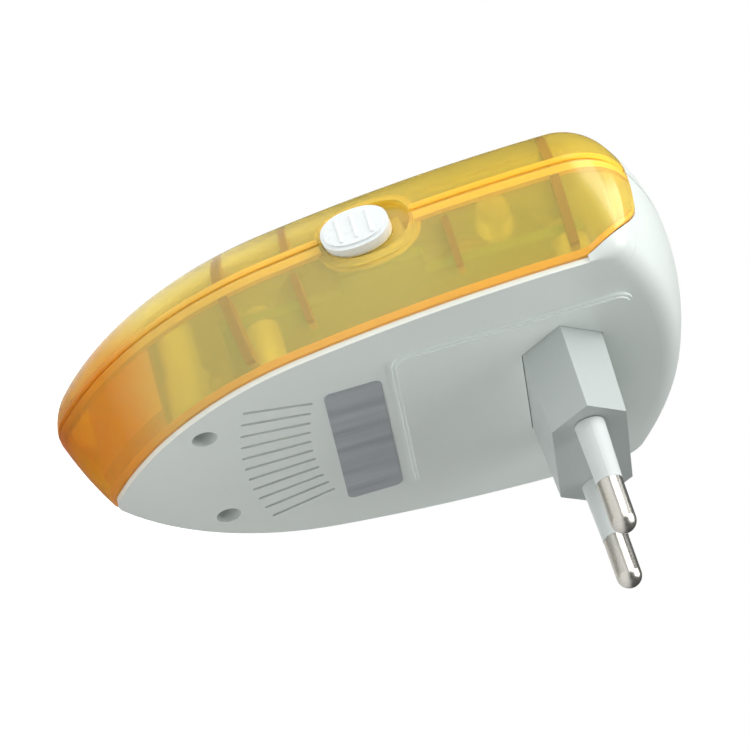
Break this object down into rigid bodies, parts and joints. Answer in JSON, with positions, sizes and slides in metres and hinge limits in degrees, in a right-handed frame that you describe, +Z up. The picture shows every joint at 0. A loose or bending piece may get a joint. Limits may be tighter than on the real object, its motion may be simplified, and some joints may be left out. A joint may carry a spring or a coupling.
{
  "type": "ultrasonic pest repeller",
  "caption": "Plug-in ultrasonic pest repeller: rounded white case with a translucent amber side band, two round mains pins on a hexagonal post and a side slide switch.",
  "frame": {"origin": "centre of the plug post's flat face, midway between the two pins", "axes": "+Y along the pins, out of the back of the case; +Z up the case, towards the rounded end with no screws; +X towards the slide switch"},
  "size_m": [0.072, 0.063, 0.1002],
  "materials": {
    "white_shell": "satin moulded plastic",
    "amber_rear": "translucent amber plastic",
    "amber_front": "translucent amber plastic",
    "white_plug": "fine matt moulded plastic",
    "sleeve_plastic": "matt insulating plastic",
    "pin_metal": "nickel-plated, lightly turned",
    "strip_brass": "stamped brass",
    "label_foil": "printed silver-grey film, no lettering",
    "knob_plastic": "satin moulded plastic",
    "black_plastic": "matt moulding compound",
    "switch_steel": "stamped sheet",
    "board_laminate": "solder-masked laminate",
    "film_capacitor": "boxed film capacitor",
    "capacitor_sleeve": "shrunk sleeve",
    "coil_copper": "enamelled winding",
    "resistor_coating": "ceramic coating",
    "ceramic_disc": "silvered ceramic",
    "amber_block": "clear orange light guide",
    "led_resin": "clear epoxy",
    "led_red": "tinted epoxy",
    "screw_steel": "zinc-plated"
  },
  "bodies": {
    "case": {"rear_cover": "white_shell", "front_cover": "white_shell", "rear_band": "amber_rear", "front_band": "amber_front", "plug_body": "white_plug", "pin_sleeves": "sleeve_plastic", "contact_pin_left": "pin_metal", "contact_pin_right": "pin_metal", "contact_strip_left": "strip_brass", "contact_strip_right": "strip_brass", "rating_label": "label_foil", "switch_body": "switch_steel", "circuit_board": "board_laminate", "mains_capacitor": "film_capacitor", "filter_capacitor": "capacitor_sleeve", "rectifier_diodes": "black_plastic", "driver_coil": "coil_copper", "control_chip": "black_plastic", "drive_transistors": "black_plastic", "fuse_resistor": "resistor_coating", "sounder_frame": "black_plastic", "sounder_plate": "strip_brass", "sounder_crystal": "ceramic_disc", "light_block": "amber_block", "night_light_leds": "led_resin", "power_led": "led_red", "housing_screws": "screw_steel", "board_screws": "screw_steel"},
    "switch": {"switch_knob": "knob_plastic", "switch_lever": "black_plastic"}
  },
  "joints": [
    {"name": "switch_slide", "type": "slide", "parent": "case", "child": "switch", "axis": [0.1353, 0, 0.9908], "range_m": [0, 0.0029]}
  ]
}
